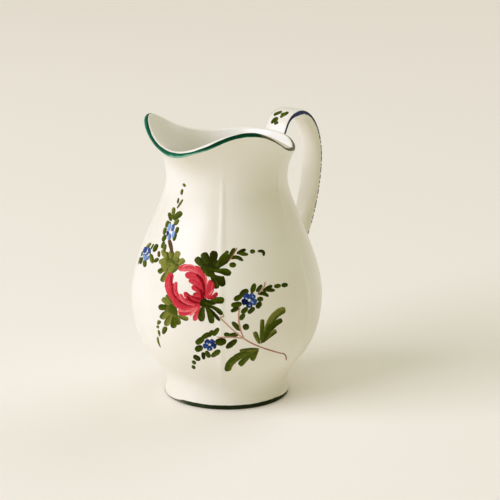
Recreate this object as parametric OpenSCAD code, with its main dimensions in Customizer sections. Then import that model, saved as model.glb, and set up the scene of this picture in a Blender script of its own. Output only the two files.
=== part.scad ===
// Cream jug of glazed porcelain: a pear-shaped body with six soft ridges on a ring foot, a waved
// mouth with a low pouring lip between two raised wings, a strap handle luted to neck and belly,
// and enamel lines and flowers painted over the glaze.
// Millimetres, +Z up. The origin is the centre of the foot on the table. The pouring lip points
// to -X and the handle to +X, so the jug is alike on both sides of the XZ plane.

/* [Foot] */
// Outer radius of the foot ring
foot_r = 28; // [27.8:0.1:29]
// Inner radius of the foot ring
foot_bore_r = 22.5; // [20:0.5:24]
// Rounding at the foot ring's lower edges
foot_round = 0.5; // [0.4:0.1:1.2]

/* [Body] */
// Radius of the waist, where the body stands on the foot ring
waist_r = 27.4; // [26.5:0.1:27.6]
// Height of the waist
waist_z = 5; // [4:0.5:6.5]
// Radius of the belly at its widest
belly_r = 43; // [40:0.5:46]
// Height of the belly at its widest
belly_z = 47; // [45:0.5:50]
// Radius of the neck at its narrowest
neck_r = 27; // [25:0.5:28]
// Height of the neck at its narrowest
neck_z = 100; // [97:0.5:102]
// Thickness of the wall
wall = 2.6; // [2:0.1:3.2]
// Thickness of the floor
floor_t = 3.6; // [3:0.2:5]
// Height of the six soft ridges
ridge_h = 0.6; // [0:0.1:1]
// Angle from the pouring lip to the front ridges
ridge_front = 35; // [30:5:40]

/* [Mouth] */
// Mean radius of the rim
rim_r = 33.1; // [32.6:0.1:33.8]
// Lean of the rim towards the pouring lip
rim_r_lean = 3.8; // [3:0.1:4.2]
// Stretch of the rim from lip to handle
rim_r_oval = 0.2; // [-0.4:0.1:1]
// Wave of the rim's radius that comes three times round
rim_r_three = -0.6; // [-1.4:0.1:0]
// Mean height of the rim
rim_z = 118.2; // [117:0.2:120]
// Lift of the rim's front over its back
rim_z_lean = 4.4; // [3.5:0.1:5.5]
// Drop of the rim at lip and handle below its sides
rim_z_oval = -1.3; // [-2:0.1:-0.8]
// Wave of the rim's height that comes three times round
rim_z_three = -3.8; // [-4.6:0.1:-3]
// Wave of the rim's height that comes four times round
rim_z_four = -1.4; // [-2.2:0.1:-0.8]
// How late the neck flares on its way to the rim
flare = 2.1; // [1.8:0.1:2.6]

/* [Handle] */
// Height of the handle's crown above the table, at the strap's edges
crown_z = 122.7; // [121.5:0.1:123.5]
// Reach of the crown from the jug's axis
crown_x = 45.7; // [44:0.1:47]
// Furthest reach of the handle, at the strap's edges
reach_x = 62.4; // [60:0.2:65]
// Height at which the handle reaches furthest
reach_z = 98; // [95:1:101]
// Height at which the handle comes down on the belly
landing_z = 51; // [48:1:54]
// Half the strap's width at its root, at the crown and at its lower end
strap_half_w = [5.8, 5.7, 5.1]; // [4:0.1:7]
// Depth of the strap's rounded inner face below its edges
strap_depth = 3.1; // [2.5:0.1:3.6]
// Rise of the strap's outer face above its edges
strap_rise = 0.6; // [0.3:0.1:1]
// Thickness of the slip that the handle is luted on with
slip_t = 0.8; // [0.6:0.1:1.2]

/* [Enamel] */
// Thickness of the painted enamel
enamel_t = 0.15; // [0.1:0.05:0.3]
// Height of the foot's painted line
foot_line_h = 1.6; // [1.2:0.1:3]

/* [Hidden] */

// Colours of the glaze and the enamels
glaze_white = [0.95, 0.93, 0.88];
slip_white = [0.9, 0.87, 0.8];
line_green = [0.05, 0.35, 0.22];
line_blue = [0.18, 0.22, 0.5];
bloom_red = [0.78, 0.2, 0.26];
leaf_green = [0.2, 0.27, 0.1];
floret_blue = [0.25, 0.34, 0.66];
stem_brown = [0.58, 0.34, 0.26];

// Pulls of the curves that draw the body's profile
waist_pull = 12.6;
belly_pull_down = 28.8;
belly_pull_up = 17.2;
neck_pull = 10;

// The rim's waves by how often they come round: once, twice and so on
rim_r_waves = [rim_r_lean, rim_r_oval, rim_r_three];
rim_z_waves = [rim_z_lean, rim_z_oval, rim_z_three, rim_z_four];

// Steps round the jug, with a step on each ridge
turn_steps = 72;
turns = [for (i = [0 : turn_steps - 1]) i * 360 / turn_steps];
// Spread of a ridge to each side, in degrees
ridge_spread = 3.2;
ridge_angles = [for (side = [-1, 1], i = [0 : 2]) 180 + side * (ridge_front + 60 * i)];

// Places of the wall's rows: 0 is the waist, 1 the belly, 2 the neck and 3 the rim
line_row = 2.97;
outer_rows = concat(
    [for (i = [0 : 9]) i / 9],
    [for (i = [1 : 10]) 1 + i / 10],
    [for (i = [1 : 6]) 2 + (line_row - 2) * i / 6],
    [3]
);
inner_rows = concat(
    [for (i = [0 : 5]) 3 - i / 6],
    [for (i = [0 : 7]) 2 - i / 8],
    [for (i = [0 : 7]) 1 - i / 7]
);
// Steps over the rim's rounding: up to its crest, and down to the inner wall
rim_rise_angles = [30, 60, 90];
rim_fall_angles = [120, 150];
row_step = 0.001;

// Handle path pulls, and where its two ends lie inside the body
root = [25, 108.8];
root_pull = [12.8, 0.8];
crown_pull_in = 14.5;
crown_pull_out = 8.9;
reach_pull_up = 13.5;
reach_pull_down = 15.6;
landing_depth = 1;
landing_pull = [12.7, 9];
landing = [belly_r - landing_depth, landing_z - landing_depth];
strap_steps = 36;
strap_sides = 16;
strap_squareness = 2.5;
slip_spread = 0.9;
// Steps of the strap between which its edge lines are painted, and their spread on the section
edge_line_steps = [5, 32];
edge_line_angles = [-22.5, 0, 22.5, 45];
// Angle to each side of the handle that the rim's line leaves bare, and its spread over the rim
rim_line_gap = 15;
rim_line_angles = [30, 60];

// Places on the wall are [angle from the pouring lip, height], and directions are seen from outside
bloom_place = [17, 58.5];
bloom_petals = 9;
heart_petals = 5;
// Strokes: distance from the motif's place, length and width
bloom_petal = [5.5, 6.5, 4.2];
heart_petal = [1, 4, 2.4];
floret_petal = [0.9, 2.5, 1.7];
side_leaf = [0.3, 3.2, 1.6];
handle_leaf = [0.6, 2.8, 1.5];
// Lobed leaves round the bloom: place, direction and size
lobed_leaves = [[[30, 66], 50, 10], [[0, 67], 125, 9], [[7, 48], 235, 10], [[31, 51], 315, 9]];
lobes = 5;
lobe_turn = 36;
lobe_start = 2.8;
lobe_width = 3;
// Toothed leaves on the stem: place, direction and length
toothed_leaves = [[[60.5, 35.5], 50, 16], [[59, 32.5], 214, 16]];
tooth_places = [0.22, 0.44, 0.66];
tooth_turn = 35;
tooth_side = 1.7;
leaf_width = 3;
// Sprigs of small leaves: place, direction, length and leaf pairs
sprigs = [
    [[-6, 85], 82, 13, 4], [[-7, 73], 100, 4, 1], [[-33, 65.5], 215, 5, 2], [[-15, 71], 170, 5, 2],
    [[40, 72], 25, 15, 4], [[57, 58], 15, 15, 4], [[25, 32], 230, 14, 4], [[0, 42], 245, 12, 4],
    [[35, 37.5], 25, 5, 2], [[50, 47], 80, 4, 1]
];
sprig_turn = 40;
sprig_side = 0.6;
// Five-petalled florets
florets = [[-7.5, 81], [-29, 68], [53, 55.5], [29, 35]];
floret_turns = [18, 90, 162, 234, 306];
// Stems: place, direction and length
stems = [[[36, 49.5], 318, 15], [[51, 38.5], 329, 26], [[50, 39.5], 100, 9], [[49.5, 38.5], 180, 8]];
stem_width = 0.8;
// Groups of leaves on the handle: place along the strap, shift towards +Y and directions
handle_leaves = [[[0.63, 1.2], [0, 145, 230]], [[0.81, 0.6], [115, 235, 300]]];

// A brush stroke's share of its full width, from its start to its end
stroke_widths = [0.25, 0.8, 1, 0.8, 0.2];

// Point at t on the cubic curve with four control points
function bezier(p, t) =
    pow(1 - t, 3) * p[0] + 3 * pow(1 - t, 2) * t * p[1] + 3 * (1 - t) * t * t * p[2] + pow(t, 3) * p[3];

// Ease from 0 at a to 1 at b
function ease(a, b, v) = let (t = min(max((v - a) / (b - a), 0), 1)) t * t * (3 - 2 * t);

function unit(v) = v / norm(v);

// Sum of the waves at an angle from the pouring lip
function waves(list, turn) = list * [for (k = [1 : len(list)]) cos(k * turn)];

// Radius and height of the rim's outer edge
function rim_point(angle) =
    [rim_r + waves(rim_r_waves, angle - 180), rim_z + waves(rim_z_waves, angle - 180)];

// Radius and height of the round body from the waist, at 0, to the neck, at 2
function profile(row) = row <= 1
    ? bezier([
        [waist_r, waist_z], [waist_r, waist_z + waist_pull],
        [belly_r, belly_z - belly_pull_down], [belly_r, belly_z]], row)
    : bezier([
        [belly_r, belly_z], [belly_r, belly_z + belly_pull_up],
        [neck_r, neck_z - neck_pull], [neck_r, neck_z]], row - 1);

// Radius and height of the smooth outer wall, flaring from the neck to the rim above row 2
function wall_point(row, angle) = row <= 2
    ? profile(row)
    : let (w = row - 2, end = rim_point(angle))
        [neck_r + (end[0] - neck_r) * pow(w, flare), neck_z + (end[1] - neck_z) * w];

// Direction up the wall, and the direction out of it
function wall_up(row, angle) =
    unit(wall_point(min(row + row_step, 3), angle) - wall_point(max(row - row_step, 0), angle));
function wall_out(row, angle) = let (up = wall_up(row, angle)) [up[1], -up[0]];

// Height of the ridges, which fade out at the waist and in the flare
function angle_gap(a, b) = abs((a - b + 540) % 360 - 180);
function ridge(row, angle) =
    let (sharp = [for (centre = ridge_angles) exp(-pow(angle_gap(angle, centre) / ridge_spread, 2))])
    ridge_h * max(sharp) * ease(0.05, 0.5, row) * (1 - ease(1.8, 2.6, row));

// Outer wall with its ridges, raised by lift, and the inner wall, which stops at the floor
function outer_point(row, angle, lift = 0) =
    wall_point(row, angle) + (ridge(row, angle) + lift) * wall_out(row, angle);
function inner_point(row, angle) =
    let (p = wall_point(row, angle) - wall * wall_out(row, angle))
    [p[0], max(p[1], waist_z + floor_t)];

// The rim is half round between the two walls: 0 is its outer side and 180 its inner side
function rim_round(turn, angle, lift = 0) =
    let (out = wall_out(3, angle), up = wall_up(3, angle))
    wall_point(3, angle) - out * wall / 2 + (wall / 2 + lift) * (out * cos(turn) + up * sin(turn));

function around(p, angle) = [p[0] * cos(angle), p[0] * sin(angle), p[1]];

// Triangles between closed rings of points, and from the first and last ring to their poles
function band_faces(rings, sides) = [
    for (i = [0 : rings - 2], j = [0 : sides - 1])
        let (a = i * sides + j, b = i * sides + (j + 1) % sides)
        each [[a, a + sides, b], [b, a + sides, b + sides]]
];
function cap_faces(rings, sides) =
    let (last = (rings - 1) * sides, low = rings * sides, high = low + 1)
    concat(
        [for (j = [0 : sides - 1]) [j, (j + 1) % sides, low]],
        [for (j = [0 : sides - 1]) [last + (j + 1) % sides, last + j, high]]
    );

// Solid through rings of points that are closed by a pole at each end
module ringed_solid(rings, low, high) {
    sides = len(rings[0]);
    count = len(rings);
    polyhedron(
        points = concat([for (ring = rings) each ring], [low, high]),
        faces = concat(band_faces(count, sides), cap_faces(count, sides))
    );
}

// Thin solid between a grid of points on a surface and the same grid raised off it
module film(base, raised) {
    rows = len(base);
    columns = len(base[0]);
    top = rows * columns;
    edge = concat(
        [for (j = [0 : columns - 2]) [j, j + 1]],
        [for (i = [0 : rows - 2]) [i * columns + columns - 1, (i + 1) * columns + columns - 1]],
        [for (j = [columns - 2 : -1 : 0]) [top - columns + j + 1, top - columns + j]],
        [for (i = [rows - 2 : -1 : 0]) [(i + 1) * columns, i * columns]]
    );
    polyhedron(
        points = concat([for (row = base) each row], [for (row = raised) each row]),
        faces = concat(
            [for (i = [0 : rows - 2], j = [0 : columns - 2])
                let (a = i * columns + j)
                each [
                    [a, a + 1, a + columns], [a + 1, a + columns + 1, a + columns],
                    [a + top, a + top + columns, a + top + 1],
                    [a + top + 1, a + top + columns, a + top + columns + 1]
                ]],
            [for (e = edge) each [[e[0], e[0] + top, e[1]], [e[1], e[0] + top, e[1] + top]]]
        )
    );
}

// Body filled to the rim and raised by lift, which trims what is luted on to it
module filled_body(lift) {
    rings = concat(
        [for (row = outer_rows) [for (angle = turns) around(outer_point(row, angle, lift), angle)]],
        [for (turn = rim_rise_angles) [for (angle = turns) around(rim_round(turn, angle, lift), angle)]]
    );
    ringed_solid(rings, [0, 0, waist_z], [0, 0, rim_z]);
}

// Middle of the strap at t, from 0 at the root over the crown at 1 and the reach at 2 to 3
function strap_middle(t) =
    let (crown = [crown_x, crown_z], reach = [reach_x, reach_z])
    t <= 1 ? bezier([root, root + root_pull, crown - [crown_pull_in, 0], crown], t)
    : t <= 2 ? bezier([crown, crown + [crown_pull_out, 0], reach + [0, reach_pull_up], reach], t - 1)
    : bezier([reach, reach - [0, reach_pull_down], landing + landing_pull, landing], t - 2);
function strap_along(t) =
    unit(strap_middle(min(t + row_step, 3)) - strap_middle(max(t - row_step, 0)));
function strap_width(t) = t <= 1
    ? strap_half_w[0] + (strap_half_w[1] - strap_half_w[0]) * t
    : strap_half_w[1] + (strap_half_w[2] - strap_half_w[1]) * (t - 1) / 2;

// Rounded section of the strap: 0 is its edge towards +Y and 90 its outer face
function rounded(v) = sign(v) * pow(abs(v), 2 / strap_squareness);
function strap_point(t, turn, grow = 0) =
    let (
        middle = strap_middle(t),
        along = strap_along(t),
        height = (sin(turn) > 0 ? strap_rise : strap_depth) + grow,
        out = [-along[1], along[0]] * height * rounded(sin(turn)),
        side = (strap_width(t) + grow) * rounded(cos(turn))
    )
    [middle[0] + out[0], side, middle[1] + out[1]];

module strap(grow = 0) {
    rings = [
        for (i = [0 : strap_steps])
            [for (j = [0 : strap_sides - 1]) strap_point(3 * i / strap_steps, j * 360 / strap_sides, grow)]
    ];
    start = strap_middle(0);
    end = strap_middle(3);
    ringed_solid(rings, [start[0], 0, start[1]], [end[0], 0, end[1]]);
}

// Slip squeezed out between the body and one end of the strap
module slip_joint(height) {
    intersection() {
        difference() {
            filled_body(slip_t);
            filled_body(0);
        }
        strap(slip_spread);
        translate([belly_r, 0, height]) cube([2 * belly_r, belly_r, neck_z / 2], center = true);
    }
}

// Enamel line along the edge of the strap towards +Y
module edge_line() {
    steps = [for (i = [edge_line_steps[0] : edge_line_steps[1]]) 3 * i / strap_steps];
    film(
        [for (t = steps) [for (turn = edge_line_angles) strap_point(t, turn)]],
        [for (t = steps) [for (turn = edge_line_angles) strap_point(t, turn, enamel_t)]]
    );
}

// Row of the wall at a height, by halving
function row_at(height, low = 0, high = 2, tries = 20) =
    let (middle = (low + high) / 2)
    tries == 0 ? middle
    : profile(middle)[1] < height ? row_at(height, middle, high, tries - 1)
    : row_at(height, low, middle, tries - 1);

// Point of a motif on the wall: along and side are measured from its place, turned by its direction
function on_wall(place, turn, along, side, lift) =
    let (
        up = along * sin(turn) + side * cos(turn),
        across = along * cos(turn) - side * sin(turn),
        height = place[1] + up * wall_up(row_at(place[1]), 180)[1],
        row = row_at(height),
        angle = 180 + place[0] + across / profile(row)[0] * 180 / PI
    )
    around(outer_point(row, angle, lift), angle);

// Point of a motif on the strap's outer face, measured from its place along the strap
function on_strap(place, turn, along, side, lift) =
    let (
        t = place[0] + (along * cos(turn) - side * sin(turn)) / norm(strap_middle(1) - strap_middle(0)),
        across = (place[1] + along * sin(turn) + side * cos(turn)) / strap_width(t),
        angle = acos(sign(across) * pow(abs(across), strap_squareness / 2))
    )
    strap_point(t, angle, lift);

// Brush stroke with round ends: spot gives its points from the way along it, to its side and up
module stroke(brush, spot) {
    last = len(stroke_widths) - 1;
    edges = [
        for (k = [0 : last])
            let (along = brush[0] + brush[1] * k / last, half = brush[2] / 2 * stroke_widths[k])
            [[along, half], [along, -half]]
    ];
    film(
        [for (edge = edges) [for (p = edge) spot(p[0], p[1], 0)]],
        [for (edge = edges) [for (p = edge) spot(p[0], p[1], enamel_t)]]
    );
}
module wall_stroke(place, turn, brush) {
    stroke(brush, function (along, side, lift) on_wall(place, turn, along, side, lift));
}
module strap_stroke(place, turn, brush) {
    stroke(brush, function (along, side, lift) on_strap(place, turn, along, side, lift));
}

// Small leaf beside a line on the wall that starts at a place and runs in a direction
module leaf_beside(place, turn, along, side, leaf_turn) {
    degrees = 180 / PI / profile(row_at(place[1]))[0];
    across = along * cos(turn) - side * sin(turn);
    up = along * sin(turn) + side * cos(turn);
    wall_stroke(place + [across * degrees, up], turn + leaf_turn, side_leaf);
}

// Ring that the jug stands on
module foot_ring() {
    color(glaze_white)
    rotate_extrude($fn = 96)
    polygon([
        [foot_bore_r, waist_z], [foot_bore_r, foot_round], [foot_bore_r + foot_round, 0],
        [foot_r - foot_round, 0], [foot_r, foot_round], [foot_r, foot_round + foot_line_h],
        [waist_r, waist_z]
    ]);
}

// Cast body: floor, belly, neck and waved mouth in one wall
module body() {
    outside = [for (row = outer_rows) [for (angle = turns) around(outer_point(row, angle), angle)]];
    rim = [
        for (turn = concat(rim_rise_angles, rim_fall_angles))
            [for (angle = turns) around(rim_round(turn, angle), angle)]
    ];
    inside = [for (row = inner_rows) [for (angle = turns) around(inner_point(row, angle), angle)]];
    color(glaze_white)
    ringed_solid(concat(outside, rim, inside), [0, 0, waist_z], [0, 0, waist_z + floor_t]);
}

module handle() {
    color(glaze_white)
    difference() {
        strap();
        filled_body(slip_t);
    }
}

module upper_slip_joint() {
    color(slip_white) slip_joint(rim_z);
}

module lower_slip_joint() {
    color(slip_white) slip_joint(landing_z);
}

// Enamel line on the outer edge of the rim, from one side of the handle round to the other
module rim_line() {
    line_turns = [for (angle = turns) if (angle >= rim_line_gap && angle <= 360 - rim_line_gap) angle];
    function line_points(angle, lift) = [
        for (p = concat(
            [for (row = [line_row, 3]) outer_point(row, angle, lift)],
            [for (turn = rim_line_angles) rim_round(turn, angle, lift)]
        )) around(p, angle)
    ];
    color(line_green)
    film(
        [for (angle = line_turns) line_points(angle, 0)],
        [for (angle = line_turns) line_points(angle, enamel_t)]
    );
}

// Enamel line round the foot
module foot_line() {
    color(line_green)
    rotate_extrude($fn = 96)
    translate([foot_r, foot_round]) square([enamel_t, foot_line_h]);
}

module handle_line_left() {
    color(line_blue) edge_line();
}

module handle_line_right() {
    color(line_blue) mirror([0, 1, 0]) edge_line();
}

// Red bloom: a ring of broad petals round a heart of small ones
module bloom_enamel() {
    color(bloom_red) {
        for (k = [0 : bloom_petals - 1]) wall_stroke(bloom_place, 360 * k / bloom_petals, bloom_petal);
        for (k = [0 : heart_petals - 1]) wall_stroke(bloom_place, 360 * k / heart_petals, heart_petal);
    }
}

// Green leaves: lobed ones round the bloom, toothed ones on the stem, and small ones on the sprigs
module leaf_enamel() {
    color(leaf_green) {
        for (leaf = lobed_leaves, k = [0 : lobes - 1])
            wall_stroke(
                leaf[0],
                leaf[1] + lobe_turn * (k - (lobes - 1) / 2),
                [lobe_start, leaf[2] - lobe_start, lobe_width]
            );
        for (leaf = toothed_leaves) {
            wall_stroke(leaf[0], leaf[1], [0, leaf[2], leaf_width]);
            for (share = tooth_places, side = [-1, 1])
                leaf_beside(leaf[0], leaf[1], leaf[2] * share, tooth_side * side, tooth_turn * side);
        }
        for (sprig = sprigs, k = [0 : sprig[3] - 1], side = [-1, 1])
            leaf_beside(sprig[0], sprig[1], sprig[2] * k / sprig[3], sprig_side * side, sprig_turn * side);
    }
}

// Blue florets of five petals
module floret_enamel() {
    color(floret_blue)
    for (place = florets, turn = floret_turns) wall_stroke(place, turn, floret_petal);
}

// Thin brown stems
module stem_enamel() {
    color(stem_brown)
    for (stem = stems) wall_stroke(stem[0], stem[1], [0, stem[2], stem_width]);
}

// Small green sprig on the handle
module handle_sprig_enamel() {
    color(leaf_green)
    for (group = handle_leaves, turn = group[1]) strap_stroke(group[0], turn, handle_leaf);
}

foot_ring();
body();
handle();
upper_slip_joint();
lower_slip_joint();
rim_line();
foot_line();
handle_line_left();
handle_line_right();
bloom_enamel();
leaf_enamel();
floret_enamel();
stem_enamel();
handle_sprig_enamel();
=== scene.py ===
import bmesh
import bpy
import numpy as np
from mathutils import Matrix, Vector


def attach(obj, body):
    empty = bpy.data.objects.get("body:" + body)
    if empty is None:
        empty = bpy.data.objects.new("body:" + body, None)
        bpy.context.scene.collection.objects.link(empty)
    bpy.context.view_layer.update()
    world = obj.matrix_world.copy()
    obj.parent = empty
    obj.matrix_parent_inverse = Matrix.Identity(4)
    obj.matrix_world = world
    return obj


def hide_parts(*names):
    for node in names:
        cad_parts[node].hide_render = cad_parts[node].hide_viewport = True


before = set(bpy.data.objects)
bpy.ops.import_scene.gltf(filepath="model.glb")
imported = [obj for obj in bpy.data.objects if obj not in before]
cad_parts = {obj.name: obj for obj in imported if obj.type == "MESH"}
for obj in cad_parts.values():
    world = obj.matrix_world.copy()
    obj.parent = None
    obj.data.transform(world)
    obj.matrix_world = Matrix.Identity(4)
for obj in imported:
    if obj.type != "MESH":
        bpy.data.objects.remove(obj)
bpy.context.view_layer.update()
mm = 0.001
print("frame:", len(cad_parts), "nodes")

# the photograph's view: what it aims at, from which side, and where that point falls in the 500 pixel picture
photoView = {
    "aim": 58.5,             # mm above the table, on the jug's axis
    "distance": 1024.6,      # mm
    "azimuth": -50.2,        # degrees
    "elevation": 16.5,
    "focal": 2277.0,         # pixels
    "picture": 500,
    "aimPixel": (226.7, 266.3),
}

# wall of the jug, in mm: radius and height of its three stations, and the waves of its rim
jugWall = {
    "waist": (27.4, 5.0), "belly": (43.0, 47.0), "neck": (27.0, 100.0),
    "waistPull": 12.6, "bellyPullDown": 28.8, "bellyPullUp": 17.2, "neckPull": 10.0,
    "rimRadius": 33.1, "radiusWaves": (3.8, 0.2, -0.6),
    "rimHeight": 118.2, "heightWaves": (4.4, -1.3, -3.8, -1.4),
    "flare": 2.1, "thickness": 2.6, "floor": 8.6,
    "ridgeAngles": (-156, -96, -36, 36, 96, 156),         # degrees from the pouring lip
    "ridgeHeights": (0.42, 0.42, 0.3, 0.3, 0.42, 0.42), "ridgeSpread": 2.2,
    "ridgeStart": (0.05, 0.5), "ridgeEnd": (1.8, 2.6),    # rows over which a ridge rises and dies away
    "ridgeBand": 6.0, "ridgeColumns": 25,                 # degrees to each side that have close columns
    "columns": 300, "outerRows": 120, "rimRows": 16, "innerRows": 60, "hollowRows": 16,
    "hollowFrom": 0.3, "flatShare": 0.55, "hollowPull": 0.75, "flatPull": 6.0,   # bottom of the inside
}


# cubic curve: four points weighted by (1-t)^3, 3t(1-t)^2, 3t^2(1-t) and t^3
def cubic(points, t):
    p = [np.asarray(point, float) for point in points]
    t = np.asarray(t, float)[..., None]
    return (1 - t) ** 3 * p[0] + 3 * t * (1 - t) ** 2 * p[1] + 3 * t * t * (1 - t) * p[2] + t ** 3 * p[3]


# eases from 0 at low to 1 at high as 3t^2 - 2t^3
def ease(low, high, value):
    t = np.clip((value - low) / (high - low), 0, 1)
    return t * t * (3 - 2 * t)


# slow waver between -1 and 1: three sines whose rates share no short period
def waver(x, seed=0.0):
    return (np.sin(x + seed) + np.sin(2.3 * x + 1.7 * seed) + np.sin(5.1 * x + 2.9 * seed)) / 3


# sum of cosines that come once, twice and so on round
def waves(sizes, turn):
    return sum(size * np.cos((k + 1) * turn) for k, size in enumerate(sizes))


# radius and height of the smooth outer wall: row 0 is the waist, 1 the belly, 2 the neck and 3 the rim,
# two cubics up to the neck, then a flare that goes out as the row's power and up in proportion
def wallPoint(row, turn):
    row, turn = np.broadcast_arrays(np.asarray(row, float), np.asarray(turn, float))
    (waistR, waistZ), (bellyR, bellyZ), (neckR, neckZ) = (jugWall[k] for k in ("waist", "belly", "neck"))
    lower = cubic([(waistR, waistZ), (waistR, waistZ + jugWall["waistPull"]),
                   (bellyR, bellyZ - jugWall["bellyPullDown"]), (bellyR, bellyZ)], np.clip(row, 0, 1))
    upper = cubic([(bellyR, bellyZ), (bellyR, bellyZ + jugWall["bellyPullUp"]),
                   (neckR, neckZ - jugWall["neckPull"]), (neckR, neckZ)], np.clip(row - 1, 0, 1))
    rim = np.stack([jugWall["rimRadius"] + waves(jugWall["radiusWaves"], turn),
                    jugWall["rimHeight"] + waves(jugWall["heightWaves"], turn)], -1)
    rise = np.clip(row - 2, 0, None)[..., None]
    upper = upper + (rim - upper) * np.concatenate([rise ** jugWall["flare"], rise], -1)
    return np.where(row[..., None] <= 1, lower, upper)


# unit direction up the wall and the unit direction out of it, from a small step of the row
def wallDirections(row, turn):
    up = wallPoint(np.minimum(row + 1e-3, 3), turn) - wallPoint(np.maximum(row - 1e-3, 0), turn)
    up = up / np.linalg.norm(up, axis=-1, keepdims=True)
    return up, np.stack([up[..., 1], -up[..., 0]], -1)


# soft upright ridges: a bell curve over the angle, fading out at the waist and in the flare
def ridgeLift(row, turn):
    gaps = (np.degrees(turn)[..., None] - np.array(jugWall["ridgeAngles"]) + 180) % 360 - 180
    bell = (np.array(jugWall["ridgeHeights"]) * np.exp(-(gaps / jugWall["ridgeSpread"]) ** 2)).max(-1)
    return bell * ease(*jugWall["ridgeStart"], row) * (1 - ease(*jugWall["ridgeEnd"], row))


# outer wall with its ridges, raised by lift along the direction out of the wall
def outerWall(row, turn, lift=0.0):
    row, turn, lift = np.broadcast_arrays(*(np.asarray(v, float) for v in (row, turn, lift)))
    out = wallDirections(row, turn)[1]
    return wallPoint(row, turn) + (ridgeLift(row, turn) + lift)[..., None] * out


# half-round rim between the two walls: bend 0 is its outer side and pi its inner side
def rimRound(bend, turn, lift=0.0):
    bend, turn, lift = np.broadcast_arrays(*(np.asarray(v, float) for v in (bend, turn, lift)))
    up, out = wallDirections(np.full(turn.shape, 3.0), turn)
    half = jugWall["thickness"] / 2
    spoke = out * np.cos(bend)[..., None] + up * np.sin(bend)[..., None]
    return wallPoint(np.full(turn.shape, 3.0), turn) - out * half + spoke * (half + lift)[..., None]


# radius and height turned round the jug's axis: turn is the angle from the pouring lip, towards -Y
def around(point, turn):
    return np.stack([-point[..., 0] * np.cos(turn), -point[..., 0] * np.sin(turn), point[..., 1]], -1)


# quads of a grid of rows and columns, the last row or column joined to the first where it is closed
def gridFaces(rows, columns, closedRows=False, closedColumns=True):
    i, j = np.meshgrid(np.arange(rows if closedRows else rows - 1),
                       np.arange(columns if closedColumns else columns - 1), indexing="ij")
    nextI, nextJ = (i + 1) % rows, (j + 1) % columns
    corners = [i * columns + j, i * columns + nextJ, nextI * columns + nextJ, nextI * columns + j]
    return np.stack(corners, -1).reshape(-1, 4)


# triangles from the first and the last ring of a grid to a pole each, the poles being its last two points
def poleFaces(rows, columns):
    j = np.arange(columns)
    nextJ, last, pole = (j + 1) % columns, (rows - 1) * columns, np.full(columns, rows * columns)
    return np.concatenate([np.stack([nextJ, j, pole], -1), np.stack([last + j, last + nextJ, pole + 1], -1)])


# smooth mesh object from points in mm and lists of face indices, riding on the jug; each point may have
# a place along and across its brush stroke, and the stroke's tone
def makePiece(name, points, faces, material, nodes, strokes=None):
    mesh = bpy.data.meshes.new(name)
    mesh.from_pydata((points.reshape(-1, 3) * mm).tolist(), [], faces)
    if strokes is not None:
        corner = np.empty(len(mesh.loops), np.int32)
        mesh.loops.foreach_get("vertex_index", corner)
        mesh.uv_layers.new(name="stroke").data.foreach_set(
            "uv", strokes[..., :2].reshape(-1, 2)[corner].astype(np.float32).ravel())
        mesh.attributes.new("tone", "FLOAT", "POINT").data.foreach_set(
            "value", strokes[..., 2].astype(np.float32).ravel())
        shell = bmesh.new()   # the strokes are separate closed films, so each is turned outside out
        shell.from_mesh(mesh)
        bmesh.ops.recalc_face_normals(shell, faces=shell.faces)
        shell.to_mesh(mesh)
        shell.free()
    mesh.polygons.foreach_set("use_smooth", np.ones(len(mesh.polygons), bool))
    mesh.materials.append(material)
    mesh.update()
    piece = bpy.data.objects.new(name, mesh)
    bpy.context.scene.collection.objects.link(piece)
    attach(piece, "root")
    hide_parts(*nodes)
    print(name + ":", len(mesh.polygons), "faces")
    return piece


# a socket that can be added, multiplied and so on in Python: each step adds a Math node
class Amount:
    def __init__(self, finish, socket):
        self.finish, self.socket = finish, socket

    def step(self, operation, *values):
        return self.finish.add("ShaderNodeMath", {"operation": operation}, dict(enumerate(values)))

    def __add__(self, other): return self.step("ADD", self, other)
    def __radd__(self, other): return self.step("ADD", other, self)
    def __sub__(self, other): return self.step("SUBTRACT", self, other)
    def __rsub__(self, other): return self.step("SUBTRACT", other, self)
    def __mul__(self, other): return self.step("MULTIPLY", self, other)
    def __rmul__(self, other): return self.step("MULTIPLY", other, self)

    def fade(self, low, high):   # eased from 0 at low to 1 at high
        return self.finish.add("ShaderNodeMapRange", {"interpolation_type": "SMOOTHSTEP"},
                               {"Value": self, "From Min": low, "From Max": high})


# a material with one Principled shader, whose constant values are set when it is made
class Finish:
    def __init__(self, name, **constants):
        self.material = bpy.data.materials.new(name)
        self.material.use_nodes = True
        self.tree = self.material.node_tree
        self.shader = self.tree.nodes["Principled BSDF"]
        self.feed(**constants)

    # one node of a type: its settings first, then the values or links of its sockets
    def add(self, kind, settings, sockets, output=0):
        node = self.tree.nodes.new(kind)
        for key, value in settings.items():
            setattr(node, key, value)
        for key, value in sockets.items():
            self.link(value, node.inputs[key])
        return Amount(self, node.outputs[output])

    def link(self, value, socket):
        if isinstance(value, Amount):
            self.tree.links.new(value.socket, socket)
        else:
            socket.default_value = value

    def feed(self, **sockets):
        for key, value in sockets.items():
            self.link(value, self.shader.inputs[key.replace("_", " ")])

    def noise(self, vector, scale, detail=2.0, roughness=0.5):
        return self.add("ShaderNodeTexNoise", {}, {"Vector": vector, "Scale": scale, "Detail": detail,
                                                  "Roughness": roughness})

    def mix(self, share, first, second):
        return self.add("ShaderNodeMix", {"data_type": "RGBA"}, {0: share, 6: first, 7: second}, 2)

    def axis(self, vector, name):
        return self.add("ShaderNodeSeparateXYZ", {}, {"Vector": vector}, name)

    def bump(self, height, distance, strength):
        return self.add("ShaderNodeBump", {}, {"Height": height, "Distance": distance, "Strength": strength})


# sRGB values from 0 to 255 as the linear colour that a socket takes
def tint(red, green, blue):
    part = np.array([red, green, blue]) / 255
    linear = np.where(part <= 0.04045, part / 12.92, ((part + 0.055) / 1.055) ** 2.4)
    return (*linear.tolist(), 1.0)


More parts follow.
